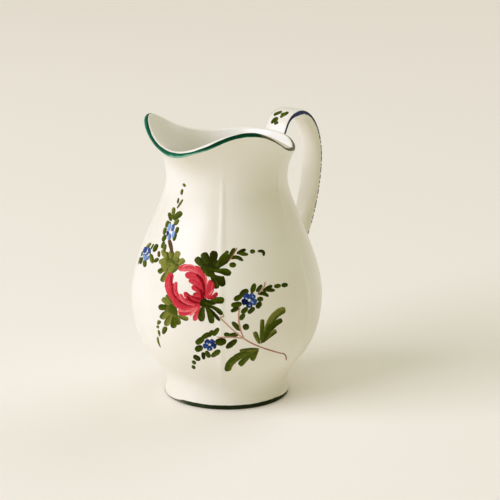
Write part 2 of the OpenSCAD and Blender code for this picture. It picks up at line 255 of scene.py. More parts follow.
glazeLook = {
    # inside: painted light, a whiter glaze standing in for the light that falls into the jug
    "white": tint(243, 239, 229), "cream": tint(236, 229, 211), "inside": tint(251, 248, 240),
    "clay": tint(214, 196, 168), "speck": tint(176, 158, 128), "roughness": 0.27,
    "clouds": 38, "cloudShare": 0.45, "poolShare": 0.1, "specks": 900, "speckPatches": 130, "speckShare": 0.25,
    "ripples": 95, "fineRipples": 420, "rippleDepth": 0.0003,
    "pool": (0.002, 0.012), "bare": (0.00015, 0.0004),    # metres above the table over which these end
}


# warm white glaze: clouded between white and cream, a little creamier where it pools low on the wall, whiter
# inside the jug as painted light, with faint specks, a gently uneven surface, and bare clay where the foot
# meets the table
def makeGlaze():
    f = Finish("warm_white_glaze", IOR=1.5)
    spot = f.add("ShaderNodeTexCoord", {}, {}, "Object")
    height = f.axis(spot, "Z")
    cloud = f.noise(spot, glazeLook["clouds"], 3)
    pool = 1 - height.fade(*glazeLook["pool"])
    creamy = cloud.fade(0.35, 0.75) * glazeLook["cloudShare"] + pool * glazeLook["poolShare"]
    colour = f.mix(creamy, glazeLook["white"], glazeLook["cream"])
    # painted light: the inside of the jug is whitened to stand in for the light that falls into it
    inside = f.add("ShaderNodeAttribute", {"attribute_name": "inside"}, {}, "Fac")
    colour = f.mix(inside * (1 - cloud * 0.3), colour, glazeLook["inside"])
    patches = f.noise(spot, glazeLook["speckPatches"], 1).fade(0.5, 0.62)
    specks = f.noise(spot, glazeLook["specks"], 1).fade(0.8, 0.84) * patches
    colour = f.mix(specks * glazeLook["speckShare"], colour, glazeLook["speck"])
    bare = 1 - height.fade(*glazeLook["bare"])
    colour = f.mix(bare, colour, glazeLook["clay"])
    ripple = f.noise(spot, glazeLook["ripples"], 1) * 0.7 + f.noise(spot, glazeLook["fineRipples"], 2) * 0.12
    f.feed(Base_Color=colour, Roughness=glazeLook["roughness"] + cloud * 0.06 + bare * 0.6,
           Normal=f.bump(ripple, glazeLook["rippleDepth"], 0.5))
    return f.material


# colours of each enamel, how much its streaks change them, and how much it pales from one side to the other
enamelLook = {
    # the rim green's grey-brown is painted shade, standing in for the shadow line along the rim's edge from
    # just right of the front round to the handle
    "rim_green": {"dark": tint(8, 60, 38), "middle": tint(20, 110, 78), "light": tint(150, 200, 178),
                  "streak": 0.2, "edge": -1.5, "paintedShadow": tint(104, 104, 82)},
    "foot_green": {"dark": tint(28, 38, 18), "middle": tint(46, 60, 36), "light": tint(126, 126, 102),
                   "streak": 0.2, "edge": -0.1},
    "handle_blue": {"dark": tint(40, 40, 66), "middle": tint(64, 72, 116), "light": tint(134, 138, 168),
                    "streak": 0.35, "edge": 0.2},
    "bloom_red": {"dark": tint(134, 8, 20), "middle": tint(206, 52, 66), "light": tint(240, 128, 128),
                  "streak": 0.35, "edge": 0.35},
    "leaf_green": {"dark": tint(38, 42, 2), "middle": tint(66, 80, 8), "light": tint(136, 136, 62),
                   "streak": 0.3, "edge": 0.4},
    "floret_blue": {"dark": tint(6, 18, 56), "middle": tint(46, 72, 136), "light": tint(150, 184, 226),
                    "streak": 0.45, "edge": 0.3},
    "stem_brown": {"dark": tint(92, 68, 36), "middle": tint(172, 116, 96), "light": tint(214, 172, 150),
                   "streak": 0.3, "edge": 0.2},
}


# enamel laid on by brush: dark or light by each stroke's own tone, with streaks along the stroke and
# thinner, paler colour towards one side of it; tones far below dark turn to a grey-brown painted shade
def makeEnamel(name, dark, middle, light, streak, edge, paintedShadow=None):
    f = Finish(name, IOR=1.5, Specular_IOR_Level=0.04)
    uv = f.add("ShaderNodeUVMap", {"uv_map": "stroke"}, {})
    tone = f.add("ShaderNodeAttribute", {"attribute_name": "tone"}, {}, "Fac")
    along, across = f.axis(uv, "X"), f.axis(uv, "Y")
    bristles = f.add("ShaderNodeCombineXYZ", {},
                     {"X": along * 1.6 + tone * 31, "Y": across * 7, "Z": tone * 17})
    lines = f.noise(bristles, 1.0, 3, 0.6)
    thin = f.noise(f.add("ShaderNodeTexCoord", {}, {}, "Object"), 520, 2)
    level = tone + (lines - 0.5) * (2 * streak) + (across - 0.5) * edge + (thin - 0.5) * 0.3
    colour = f.mix(level.fade(0.0, 0.5), dark, middle)
    colour = f.mix(level.fade(0.5, 1.0), colour, light)
    # painted shade: grey-brown where the tone lies far below dark
    if paintedShadow:
        colour = f.mix(1 - level.fade(-3.2, -1.2), colour, paintedShadow)
    f.feed(Base_Color=colour, Roughness=0.35 + thin * 0.1, Normal=f.bump(lines, 0.00003, 0.6))
    return f.material


glaze = makeGlaze()
rimGreen, footGreen, handleBlue, bloomRed, leafGreen, floretBlue, stemBrown = (
    makeEnamel(name, **look) for name, look in enamelLook.items())
print("finishes made")


# closed surface of the jug: under the floor, up the outer wall, over the rim, down the inner wall and
# across the inside floor, one grid of rows turned round the axis and closed by a pole at each end
def makeBody():
    # columns evenly round the jug, but half a degree apart over each ridge
    even = np.linspace(-180, 180, jugWall["columns"], endpoint=False)
    ridges = np.array(jugWall["ridgeAngles"])
    clear = np.abs((even[:, None] - ridges + 180) % 360 - 180).min(1) > jugWall["ridgeBand"] + 0.2
    close = np.linspace(-jugWall["ridgeBand"], jugWall["ridgeBand"], jugWall["ridgeColumns"])
    turn = np.radians(np.sort(np.append(even[clear], ridges[:, None] + close)))
    rising = np.concatenate([[0, 0.0005], np.linspace(0, 3, jugWall["outerRows"])[1:]])
    outside = outerWall(rising[:, None], turn)
    rim = rimRound(np.linspace(0, np.pi, jugWall["rimRows"])[1:-1, None], turn)
    # inner wall: the smooth outer wall set in by its thickness, down to just above the floor
    innerRow = np.linspace(3, jugWall["hollowFrom"], jugWall["innerRows"])[:, None] + 0 * turn
    inside = wallPoint(innerRow, turn) - jugWall["thickness"] * wallDirections(innerRow, turn)[1]
    # hollow below it: a cubic that leaves the wall in line with it and lands flat on the floor
    foot = inside[-1]
    down = (foot - inside[-2]) / np.linalg.norm(foot - inside[-2], axis=-1, keepdims=True)
    drop = foot[:, 1:] - jugWall["floor"]
    flat = np.concatenate([foot[:, :1] * jugWall["flatShare"], 0 * drop + jugWall["floor"]], -1)
    hollow = cubic([foot, foot + down * drop * jugWall["hollowPull"], flat + [jugWall["flatPull"], 0.0], flat],
                   np.linspace(0, 1, jugWall["hollowRows"])[1:, None])
    floor = np.array([[r, jugWall["floor"]] for r in (8.0, 3.0, 0.6)])[:, None] + 0 * flat
    under = np.array([[r, jugWall["waist"][1]] for r in (0.6, 12.0, 22.0, 27.2, 27.38)])[:, None] + 0 * flat
    rows = np.concatenate([under, outside, rim, inside, hollow, floor])
    poles = [[0, 0, jugWall["waist"][1]], [0, 0, jugWall["floor"]]]
    points = np.concatenate([around(rows, turn).reshape(-1, 3), poles])
    faces = gridFaces(*rows.shape[:2]).tolist() + poleFaces(*rows.shape[:2]).tolist()
    piece = makePiece("jug_body", points, faces, glaze, ["body"])
    # 1 from the inner edge of the rim down to the inside floor, where the glaze takes its whiter painted light
    inner = np.repeat(np.arange(len(rows)) > len(under) + len(outside) + len(rim) - 3, len(turn))
    piece.data.attributes.new("inside", "FLOAT", "POINT").data.foreach_set(
        "value", np.concatenate([inner, [0, 1]]).astype(np.float32))


makeBody()

footShape = {"outer": 28.0, "bore": 22.5, "height": 5.0, "round": 0.5, "flareEnd": 1.4}


# radius of the foot's outside: a hollow flare that grows as the square of the way down from the waist
def footOuter(height):
    way = np.clip((footShape["height"] - height) / (footShape["height"] - footShape["flareEnd"]), 0, 1)
    return jugWall["waist"][0] + (footShape["outer"] - jugWall["waist"][0]) * way ** 2


# foot ring: a closed profile down the bore, under the ring, round its edge and up the flare to the waist
def makeFoot():
    turn = np.linspace(-np.pi, np.pi, 240, endpoint=False)
    small = footShape["round"]
    corner = np.linspace(0, np.pi / 2, 7)
    bore = np.stack([np.full(6, footShape["bore"]), np.linspace(footShape["height"], small + 0.1, 6)], -1)
    inner = np.stack([footShape["bore"] + small * (1 - np.cos(corner)), small * (1 - np.sin(corner))], -1)
    outer = np.stack([footShape["outer"] - small * (1 - np.sin(corner)), small * (1 - np.cos(corner))], -1)
    height = np.append(np.linspace(small + 0.1, footShape["height"] - 0.02, 16), footShape["height"])
    top = [(jugWall["waist"][0] - 0.02, footShape["height"])]
    profile = np.concatenate([bore, inner, outer, np.stack([footOuter(height), height], -1), top])
    points = around(profile[:, None] + np.zeros((1, len(turn), 1)), turn)
    faces = gridFaces(*points.shape[:2], closedRows=True).tolist()
    makePiece("jug_foot", points, faces, glaze, ["foot_ring"])


makeFoot()

# strap of the handle, in mm: its path in the XZ plane from the rim over the crown to the belly
strapShape = {
    "root": (25.0, 108.8), "rootPull": (12.8, 0.8),
    "crown": (45.7, 122.7), "crownIn": 14.5, "crownOut": 8.9,
    "reach": (62.4, 98.0), "reachUp": 13.5, "reachDown": 15.6,
    "landing": (42.0, 50.0), "landingPull": (12.7, 9.0),
    "halfWidths": (5.8, 5.7, 5.1), "rise": 0.6, "depth": 3.1, "squareness": 2.5,
    "rows": 180, "sides": 64, "sink": 0.5,
    "filletOut": 1.2, "filletUp": 2.6, "filletSink": 0.8, "filletCore": 0.5, "filletEdge": 0.02,
    "crownPace": 24.0,       # mm along the strap to one step of its path, near the crown
}


# middle of the strap at t, three cubics in a row: root to crown, crown to reach, reach to landing
def strapMiddle(t):
    root, crown, reach, landing = (np.array(strapShape[k]) for k in ("root", "crown", "reach", "landing"))
    first = cubic([root, root + strapShape["rootPull"], crown - [strapShape["crownIn"], 0], crown],
                  np.clip(t, 0, 1))
    second = cubic([crown, crown + [strapShape["crownOut"], 0], reach + [0, strapShape["reachUp"]], reach],
                   np.clip(t - 1, 0, 1))
    third = cubic([reach, reach - [0, strapShape["reachDown"]], landing + strapShape["landingPull"], landing],
                  np.clip(t - 2, 0, 1))
    t = t[..., None]
    return np.where(t <= 1, first, np.where(t <= 2, second, third))


# surface of the strap: a section like a rounded D carried along the path, its sides a power of sine and
# cosine; angle 0 is the edge towards +Y and pi/2 the middle of the outer face
def strapSkin(t, angle, lift=0.0):
    t, angle, lift = np.broadcast_arrays(*(np.asarray(v, float) for v in (t, angle, lift)))
    along = strapMiddle(np.minimum(t + 1e-3, 3)) - strapMiddle(np.maximum(t - 1e-3, 0))
    along = along / np.linalg.norm(along, axis=-1, keepdims=True)
    power = 2 / strapShape["squareness"]
    up = np.sign(np.sin(angle)) * np.abs(np.sin(angle)) ** power
    side = np.sign(np.cos(angle)) * np.abs(np.cos(angle)) ** power
    half = np.interp(t, [0, 1, 3], strapShape["halfWidths"]) + lift
    height = up * (np.where(up > 0, strapShape["rise"], strapShape["depth"]) + lift)
    middle = strapMiddle(t)
    return np.stack([middle[..., 0] - along[..., 1] * height, side * half,
                     middle[..., 1] + along[..., 0] * height], -1)


# how far points lie outside the back of the jug: distance to the nearest point of the wall's profile
# behind the handle, negative inside it
def outsideWall(points):
    turn = np.full(130, np.pi)
    row = np.linspace(0.6, 3, 130)
    bend = np.linspace(0, np.pi / 2, 13)[1:]
    line = np.concatenate([outerWall(row, turn), rimRound(bend, turn[:12])])
    step = np.gradient(line, axis=0)
    out = np.stack([step[:, 1], -step[:, 0]], -1)
    spot = np.stack([np.hypot(points[..., 0], points[..., 1]), points[..., 2]], -1)
    gap = spot[..., None, :] - line
    near = np.linalg.norm(gap, axis=-1)
    nearest = near.argmin(-1)[..., None]
    side = np.sign((gap * out).sum(-1))
    return (np.take_along_axis(near, nearest, -1) * np.take_along_axis(side, nearest, -1))[..., 0]


# where each line along the strap leaves the wall at its upper end and enters it again at its lower end
def strapEnds(angle, depth):
    t = np.linspace(0, 3, 361)
    clear = outsideWall(strapSkin(t[:, None], angle)) + depth
    column = np.arange(len(angle))
    first = (clear > 0).argmax(0)
    last = len(t) - 1 - (clear[::-1] > 0).argmax(0)
    above, below = clear[first, column], clear[np.maximum(first - 1, 0), column]
    start = t[first] - (t[1] - t[0]) * np.clip(above / np.maximum(above - below, 1e-6), 0, 1)
    above, below = clear[last, column], clear[np.minimum(last + 1, len(t) - 1), column]
    end = t[last] + (t[1] - t[0]) * np.clip(above / np.maximum(above - below, 1e-6), 0, 1)
    return start, end


# the strap as a grid whose lines run from wall to wall, with its ends closed inside the wall
def makeHandle():
    angle = np.linspace(0, 2 * np.pi, strapShape["sides"], endpoint=False)
    start, end = strapEnds(angle, strapShape["sink"])
    share = np.linspace(0, 1, strapShape["rows"])[:, None]
    grid = strapSkin(start + (end - start) * share, angle)
    points = np.concatenate([grid.reshape(-1, 3), [grid[0].mean(0), grid[-1].mean(0)]])
    faces = gridFaces(*grid.shape[:2]).tolist() + poleFaces(*grid.shape[:2]).tolist()
    makePiece("jug_handle", points, faces, glaze, ["handle"])


# slip drawn into a hollow fillet where the strap meets the wall: it stands out from the strap as the
# square of the distance still to go, and is closed along the strap's inside
def makeJoint(name, atRim):
    angle = np.linspace(0, 2 * np.pi, strapShape["sides"], endpoint=False)
    contact = strapEnds(angle, 0.0)[0 if atRim else 1]
    share = np.linspace(0, 1, 9)
    out, up, sink, core = (strapShape["fillet" + k] for k in ("Out", "Up", "Sink", "Core"))
    way = np.concatenate([[-sink], up * share, [up, -sink]])
    lift = np.concatenate([[out], strapShape["filletEdge"] + out * (1 - share) ** 2, [-core, -core]])
    if not atRim:
        way, lift = way[::-1], lift[::-1]
    pace = np.linalg.norm(strapMiddle(contact + 1e-3) - strapMiddle(contact - 1e-3), axis=-1) / 2e-3
    t = contact + (way[:, None] if atRim else -way[:, None]) / pace
    grid = strapSkin(np.clip(t, 0, 3), angle, lift[:, None])
    makePiece(name, grid, gridFaces(*grid.shape[:2], closedRows=True).tolist(), glaze,
              ["upper_slip_joint" if atRim else "lower_slip_joint"])


makeHandle()
makeJoint("slip_joint_at_rim", True)
makeJoint("slip_joint_at_belly", False)

enamelLift = 0.03   # mm that the enamel stands above the glaze


# ribbon of enamel: a skin function of the way along and the place across, raised in the middle and sunk
# under the glaze at its edges, at its back and where present is 0, closed round its section and at both ends
def makeRibbon(name, skin, along, low, high, tone, material, node, present=1.0):
    across = np.concatenate([[0, 0.02], np.linspace(0.06, 0.94, 13), [0.98, 1, 0.8, 0.2]])
    lift = enamelLift * np.array([-0.6, 0.3] + [1] * 13 + [0.3, -0.6, -3, -3])
    place = low[:, None] + (high - low)[:, None] * across
    sunk = 2 * enamelLift * (1 - np.broadcast_to(present, along.shape))
    points = skin(along[:, None] + 0 * across, place, lift - sunk[:, None])
    rows, columns = place.shape
    ends = [list(range(columns)), list(range((rows - 1) * columns, rows * columns))]
    marks = np.stack([along[:, None] * 6 + 0 * across, across + 0 * place, tone[:, None] + 0 * across], -1)
    makePiece(name, points, gridFaces(rows, columns).tolist() + ends, material, [node], marks)


# values along a line, straight between its marks; a mark is the place and then the values there
def readMarks(place, marks):
    spots, *values = np.array(marks, float).T
    return [np.interp(place, spots, v) for v in values]


# green line over the outer half of the rim, in mm along the profile from its outer edge
rimLine = {
    "gap": 14.0, "rows": 900, "uneven": 0.08,
    "marks": [   # degrees from the lip, lower and upper edge of the line, dark to light; grey-brown painted shade below -3
        # the tones are partly the enamel's own and partly painted light and shade: paler at the left where the
        # key light falls, darkest just right of the front in the shade
        (-180, 0.2, 1.8, 0.5), (-120, 0.2, 1.8, 0.5), (-70, 0, 3.1, 0.9), (-45, -0.8, 3.4, 0.8),
        (-35, -1.5, 3.2, 0.7), (-25, -2.3, 2.7, 0.68), (-15, -2.6, 2.4, 0.72), (-8, -2.3, 2.3, 0.74),
        (0, -1.4, 2.2, 0.76), (10, -0.5, 1.8, 0.78), (17, -0.1, 1.6, 0.74), (22, -0.5, 1.6, 0.6),
        (28, -1, 1.5, 0.25), (35, -0.6, 1.8, -0.1), (42, 0, 2, -0.15), (50, 0.2, 2.3, -0.15),
        (60, 0.5, 2.6, -0.3), (64, 0.6, 2.4, -1.9), (66, 0.65, 2.2, -2.8), (75, 0.4, 1.4, -4.2),
        (80, 0.2, 0.8, -4.2), (90, -0.4, 0.3, -4.2), (97, -0.3, 1, -4.2), (105, 0.3, 2, -4.2),
        (120, 1, 2.7, -4.2), (135, 1, 2.7, -4.2), (180, 0.3, 1.8, -4.2),
    ],
}


# skin over the outer edge of the rim: below the edge it follows the wall, above it the rounding
def rimSkin(turn, way, lift):
    pace = np.linalg.norm(wallPoint(3.0, turn) - wallPoint(2.999, turn), axis=-1) / 1e-3
    wall = outerWall(3 + np.minimum(way, 0) / pace, turn, lift)
    rounding = rimRound(np.maximum(way, 0) / (jugWall["thickness"] / 2), turn, lift)
    return around(np.where(way[..., None] <= 0, wall, rounding), turn)


def makeRimLine():
    bare = np.radians(rimLine["gap"])
    turn = np.linspace(-np.pi + bare, np.pi - bare, rimLine["rows"])
    low, high, tone = readMarks(np.degrees(turn), rimLine["marks"])
    low = low + rimLine["uneven"] * waver(9 * turn, 1.0)
    high = high + rimLine["uneven"] * waver(7 * turn, 2.4)
    makeRibbon("rim_line_paint", rimSkin, turn, low, high, tone + 0.1 * waver(12 * turn, 0.7), rimGreen,
               "rim_line")


footLine = {
    "low": 0.15, "uneven": 0.08, "rows": 721,
    "marks": [   # degrees from the lip, upper edge in mm, dark to light
        # these tones are partly painted light and shade: paler at the left where the key light falls, darkest
        # just right of the front in the shade, a little paler again at the right
        (-180, 0.7, 0.5), (-80, 0.5, 0.9), (-32, 0.5, 0.9), (-15, 1.1, 0.9), (-4, 1.9, 0.65),
        (6, 2.1, 0.42), (14, 2.1, 0.35), (30, 2.1, 0.15), (77, 2.1, 0.1), (90, 2.1, 0.25), (100, 1.8, 0.4),
        (130, 1, 0.5), (180, 0.7, 0.5),
    ],
}


# skin of the foot: height up its outside, which is rounded at the bottom
def footSkin(turn, height, lift):
    small = footShape["round"]
    tuck = small * (1 - np.sqrt(np.clip(1 - ((small - np.minimum(height, small)) / small) ** 2, 0, 1)))
    return around(np.stack([footOuter(height) - tuck + lift, height], -1), turn)


# green line low on the foot, thick on the side that the photograph shows and thinning out to its left, its
# tones partly painted light and shade
def makeFootLine():
    turn = np.linspace(-np.pi, np.pi, footLine["rows"])
    low = footLine["low"] + 0.04 * waver(6 * turn, 0.3)
    high, tone = readMarks(np.degrees(turn), footLine["marks"])
    high = high + footLine["uneven"] * waver(8 * turn, 1.9)
    makeRibbon("foot_line_paint", footSkin, turn, low, high, tone + 0.1 * waver(5 * turn, 2.2), footGreen,
               "foot_line")


# blue line along an edge of the strap, its breadths in radians of the strap's section
edgeLine = {
    "rows": 1000, "dashesFrom": 1.6, "dashes": 110,
    "marks": [   # way along the strap, breadth on the outer face, breadth on the side
        (0.35, 0.12, 0.3), (0.55, 0.16, 0.42), (0.8, 0.3, 0.74), (1.0, 0.38, 0.66), (1.12, 0.28, 0.34),
        (1.25, 0.22, 0.22), (1.6, 0.18, 0.12), (2.0, 0.14, 0.1), (2.7, 0.1, 0.08),
    ],
}


def makeEdgeLine(name, towardsY, node):
    t = np.linspace(edgeLine["marks"][0][0], edgeLine["marks"][-1][0], edgeLine["rows"])
    onFace, onSide = readMarks(t, edgeLine["marks"])
    onFace = onFace * (1 + 0.15 * waver(14 * t, 0.4))
    onSide = onSide * (1 + 0.2 * waver(11 * t, 1.3))
    edge, side = (0.0, 1) if towardsY else (np.pi, -1)
    beat = np.sin(edgeLine["dashes"] * t + 4 * waver(13 * t, 0.2))
    present = 1 - (1 - ease(-0.6, -0.2, beat)) * ease(edgeLine["dashesFrom"], edgeLine["dashesFrom"] + 0.15, t)
    tone = 0.3 + 0.2 * waver(5 * t, 0.9) + 0.25 * ease(1.4, 2.4, t)
    makeRibbon(name, strapSkin, t, edge - side * onSide, edge + side * onFace, tone, handleBlue,
               node, present)


makeRimLine()
makeFootLine()
makeEdgeLine("handle_line_left_paint", True, "handle_line_left")
makeEdgeLine("handle_line_right_paint", False, "handle_line_right")


# films of brush strokes: each runs on a parabola through its three points and is laid on a surface by
# spot(x, y, lift); its half width is a share (1 - |1 - 2 t^e|^p)^(1/p) of the way t, where e sets how near its
# start it is broadest and p how blunt it is; later strokes and higher layers lie a little higher
def strokeFilms(strokes, tones, spot, belly, blunt, layer):
    strokes = np.array([s if len(s) == 7 else (*s[:2], (s[0] + s[2]) / 2, (s[1] + s[3]) / 2, *s[2:])
                        for s in strokes])
    first, middle, last = strokes[:, None, 0:2], strokes[:, None, 2:4], strokes[:, None, 4:6]
    pull = 2 * middle - (first + last) / 2
    t = 0.001 + 0.998 * (1 - np.cos(np.linspace(0, 1, 21) * np.pi)) / 2
    s = t[None, :, None]
    centre = (1 - s) ** 2 * first + 2 * s * (1 - s) * pull + s * s * last
    heading = (1 - s) * (pull - first) + s * (last - pull)
    heading = heading / np.linalg.norm(heading, axis=-1, keepdims=True)
    normal = np.stack([-heading[..., 1], heading[..., 0]], -1)
    order = np.arange(len(strokes))
    swell = (1 - np.abs(1 - 2 * t ** (np.log(0.5) / np.log(belly))) ** blunt) ** (1 / blunt)
    half = 0.46 * strokes[:, 6:7] * swell * (1 + 0.08 * waver(7 * t, order[:, None] * 1.37))
    across = np.array([-1, -0.95, -0.8, -0.55, -0.28, 0, 0.28, 0.55, 0.8, 0.95, 1, 0.6, -0.6])
    shape = np.array([-0.6, 0.3, 1, 1, 1, 1, 1, 1, 1, 0.3, -0.6, -3, -3])
    lift = enamelLift * shape + 0.004 * (9 * layer + order % 9)[:, None, None] * np.maximum(shape, 0)
    place = centre[:, :, None] + (normal * half[..., None])[:, :, None] * across[:, None]
    points = spot(place[..., 0], place[..., 1], lift + 0 * place[..., 0])
    flat = 0 * place[..., 0]
    tones = np.array(tones)[:, None, None]
    return points, np.stack([t[:, None] + flat, (across + 1) / 2 + flat, tones + flat], -1)


# one piece from several groups: strokes, tones, spot, where a stroke is broadest, its bluntness, its layer
def makePaint(name, groups, material, node):
    films = [strokeFilms(*group) for group in groups]
    points, marks = (np.concatenate([film[k] for film in films]) for k in (0, 1))
    count, rows, columns = points.shape[:3]
    offset = (np.arange(count) * rows * columns)[:, None, None]
    ends = np.stack([np.arange(columns), np.arange(columns) + (rows - 1) * columns])
    faces = (gridFaces(rows, columns)[None] + offset).reshape(-1, 4).tolist()
    faces += (ends[None] + offset).reshape(-1, columns).tolist()
    makePiece(name, points, faces, material, [node], marks)


# tones for a group of strokes, spread about a middle one
def toned(strokes, middle, spread=0.2):
    return middle + spread * waver(np.arange(len(strokes)) * 2.1, 0.6)


# angle and row of the wall that the photograph shows at a pixel: the ray's depth, height and radius are
# worked out from one another until they settle
heightRows = np.linspace(0, 2.3, 400)
heightTable = wallPoint(heightRows, 0.0)


def seenOnWall(x, y):
    tilt = np.radians(photoView["elevation"])
    radius, height, sight = np.full(x.shape, 40.0), np.full(x.shape, 60.0), np.zeros(x.shape)
    for _ in range(25):
        reach = radius * np.cos(sight)
        depth = reach * np.cos(tilt) + (height - photoView["aim"]) * np.sin(tilt)
        scale = (photoView["distance"] - depth) / photoView["focal"]
        sight = np.arcsin(np.clip((x - photoView["aimPixel"][0]) * scale / radius, -0.995, 0.995))
        rise = (photoView["aimPixel"][1] - y) * scale + reach * np.sin(tilt)
        height = photoView["aim"] + rise / np.cos(tilt)
        radius = np.interp(height, heightTable[:, 1], heightTable[:, 0])
    return sight + np.radians(90 + photoView["azimuth"]), np.interp(height, heightTable[:, 1], heightRows)


# a sheet for drawing strokes over the photograph's view: the pixel of its corner and the pixels to one unit
def sheetSpot(corner, unit):
    def spot(x, y, lift):
        turn, row = seenOnWall(corner[0] + unit * x, corner[1] + unit * y)
        return around(outerWall(row, turn, lift), turn)
    return spot


# the flower spray, a common country pattern, stroke by stroke: x and y of its start, of its middle where it
# bends, and of its end, then its width; one sheet lies over the spray and one over its upper left part
spraySheet = sheetSpot((130, 230), 0.10842)
upperSheet = sheetSpot((125, 175), 0.07335)

bloomStrokes = [   # the last number is the tone, from dark to light
    (412, 610, 500, 690, 650, 682, 84, 0.35), (618, 390, 672, 500, 672, 660, 96, 0.4),
    (505, 655, 580, 645, 660, 640, 70, 0.2), (455, 738, 550, 735, 655, 690, 88, 0.6),
    (448, 366, 545, 350, 655, 398, 74, 0.66), (590, 345, 655, 420, 682, 575, 78, 0.6),
    (388, 398, 362, 540, 456, 690, 84, 0.48), (398, 645, 490, 710, 640, 692, 66, 0.42),
    (445, 735, 530, 752, 642, 712, 78, 0.75), (448, 762, 500, 774, 568, 760, 40, 0.5),
    (580, 820, 615, 790, 640, 705, 62, 0.6), (510, 425, 610, 442, 674, 570, 86, 0.52),
    (540, 468, 620, 500, 668, 595, 62, 0.5), (568, 536, 620, 545, 668, 605, 62, 0.42),
    (582, 600, 630, 600, 672, 620, 50, 0.4), (430, 478, 430, 600, 560, 692, 54, 0.6),
    (468, 588, 502, 652, 605, 692, 46, 0.65), (510, 570, 545, 622, 645, 668, 56, 0.35),
    (562, 604, 600, 640, 655, 658, 46, 0.3), (742, 460, 728, 540, 692, 628, 54, 0.35),
    (760, 478, 752, 560, 700, 630, 44, 0.5), (800, 574, 772, 614, 712, 632, 44, 0.25),
    (610, 410, 668, 480, 690, 605, 36, 0.0), (400, 490, 412, 610, 530, 690, 24, 0.1),
    (530, 612, 575, 656, 650, 672, 30, 0.0), (645, 550, 668, 600, 655, 660, 44, 0.0),
    (600, 520, 640, 560, 668, 640, 14, 0.05), (430, 610, 470, 670, 570, 700, 14, 0.15),
    (550, 795, 590, 758, 628, 722, 14, 1.2), (380, 420, 378, 470, 388, 520, 18, 0.2),
    (732, 600, 756, 570, 772, 545, 14, 1.2), (690, 400, 705, 470, 700, 560, 14, 0.8),
    (480, 345, 545, 322, 610, 345, 16, 1.0),
]
rightLeaf = [   # lobed leaf at the upper right of the bloom
    (606, 256, 720, 375, 76), (678, 208, 735, 370, 88), (778, 192, 756, 370, 88),
    (912, 224, 850, 290, 752, 392, 104), (930, 408, 850, 380, 770, 385, 72),
    (880, 474, 815, 460, 745, 400, 108), (806, 540, 778, 475, 740, 410, 64), (660, 330, 790, 440, 116),
    (700, 340, 815, 360, 84), (640, 290, 780, 335, 96), (715, 262, 742, 372, 90), (812, 280, 770, 385, 90),
    (800, 520, 790, 470, 760, 420, 84),
]
lowLeaf = [   # lobed leaf at its lower right
    (868, 652, 790, 652, 700, 684, 70), (850, 780, 790, 726, 700, 692, 48),
    (828, 834, 770, 768, 705, 695, 38), (752, 860, 738, 780, 690, 695, 66),
    (662, 842, 662, 760, 685, 690, 72), (655, 650, 735, 715, 92), (690, 665, 790, 680, 58),
]
leftLeaf = [   # lobed leaf at its lower left, and the tail below it
    (296, 630, 388, 702, 58), (338, 596, 398, 690, 60), (262, 710, 380, 718, 66),
    (288, 820, 330, 775, 398, 735, 70), (326, 884, 400, 755, 66), (400, 905, 410, 770, 68),
    (452, 874, 425, 775, 58), (538, 826, 440, 788, 50), (355, 695, 430, 800, 106), (275, 834, 256, 874, 40),
    (250, 882, 264, 908, 30), (330, 892, 304, 962, 52), (262, 922, 276, 984, 25),
    (256, 985, 262, 1035, 284, 1084, 22),
]
sprigLeaves = [
    # beyond the upper right leaf
    (878, 230, 905, 192, 40), (922, 245, 968, 168, 50), (985, 218, 1068, 178, 42), (1000, 216, 1090, 226, 40),
    (1106, 200, 1154, 196, 44), (1176, 198, 1225, 200, 1230, 240, 36), (930, 266, 985, 252, 1042, 286, 42),
    (916, 322, 978, 322, 54),
    # round the right-hand floret, and its sprig
    (1014, 606, 1090, 552, 66), (958, 646, 1036, 604, 56), (932, 696, 1032, 680, 58),
    (930, 752, 1004, 716, 46), (1028, 768, 1084, 716, 52), (1014, 830, 1056, 772, 50),
    (1088, 768, 1150, 716, 48), (1168, 722, 1208, 664, 54), (1172, 642, 1228, 634, 50),
    (1122, 582, 1152, 492, 52), (1166, 572, 1218, 506, 44), (1228, 566, 1312, 512, 46),
    (1240, 552, 1338, 556, 40), (1328, 522, 1392, 512, 44), (1396, 512, 1456, 504, 46),
    (1178, 590, 1230, 586, 1278, 614, 42),
    # round the lower floret
    (608, 1050, 680, 996, 64), (660, 1000, 738, 952, 54), (722, 985, 766, 925, 46), (766, 975, 818, 902, 50),
    (600, 1106, 672, 1080, 68), (584, 1160, 648, 1200, 54), (574, 1206, 606, 1236, 36),
    (572, 1250, 600, 1280, 34), (672, 1126, 682, 1194, 42), (698, 1116, 736, 1176, 50),
    (750, 1168, 832, 1106, 54), (786, 1034, 888, 1024, 78), (886, 1090, 986, 1012, 58),
    (866, 958, 928, 974, 46), (916, 972, 1002, 962, 48),
    # at the fork of the stem
    (942, 848, 1020, 928, 52), (1040, 902, 1098, 886, 64),
]
toothedLeaves = [
    (1434, 736, 1310, 822, 1208, 1050, 76), (1220, 824, 1217, 910, 1204, 1020, 46),
    (1404, 828, 1325, 882, 1240, 985, 56), (1352, 930, 1295, 965, 1222, 1040, 52),
    (1148, 938, 1195, 1050, 50), (1300, 870, 1216, 1040, 76), (906, 1302, 965, 1192, 1192, 1096, 78),
    (1012, 1116, 1186, 1096, 42), (960, 1174, 1078, 1122, 48), (1122, 1204, 1174, 1108, 54),
    (1008, 1248, 1058, 1198, 1118, 1140, 60), (1048, 1176, 1186, 1108, 70),
]
stemStrokes = [
    (832, 808, 948, 922, 1050, 1000, 13), (1048, 1000, 1190, 1074, 1404, 1140, 13),
    (1400, 1137, 1432, 1154, 1441, 1200, 13), (1052, 1002, 1006, 858, 1013, 708, 15),
    (1056, 1000, 940, 990, 800, 986, 13), (908, 288, 952, 228, 986, 164, 10),
    (1186, 586, 1230, 536, 1246, 478, 10), (828, 800, 862, 796, 850, 764, 10),
]
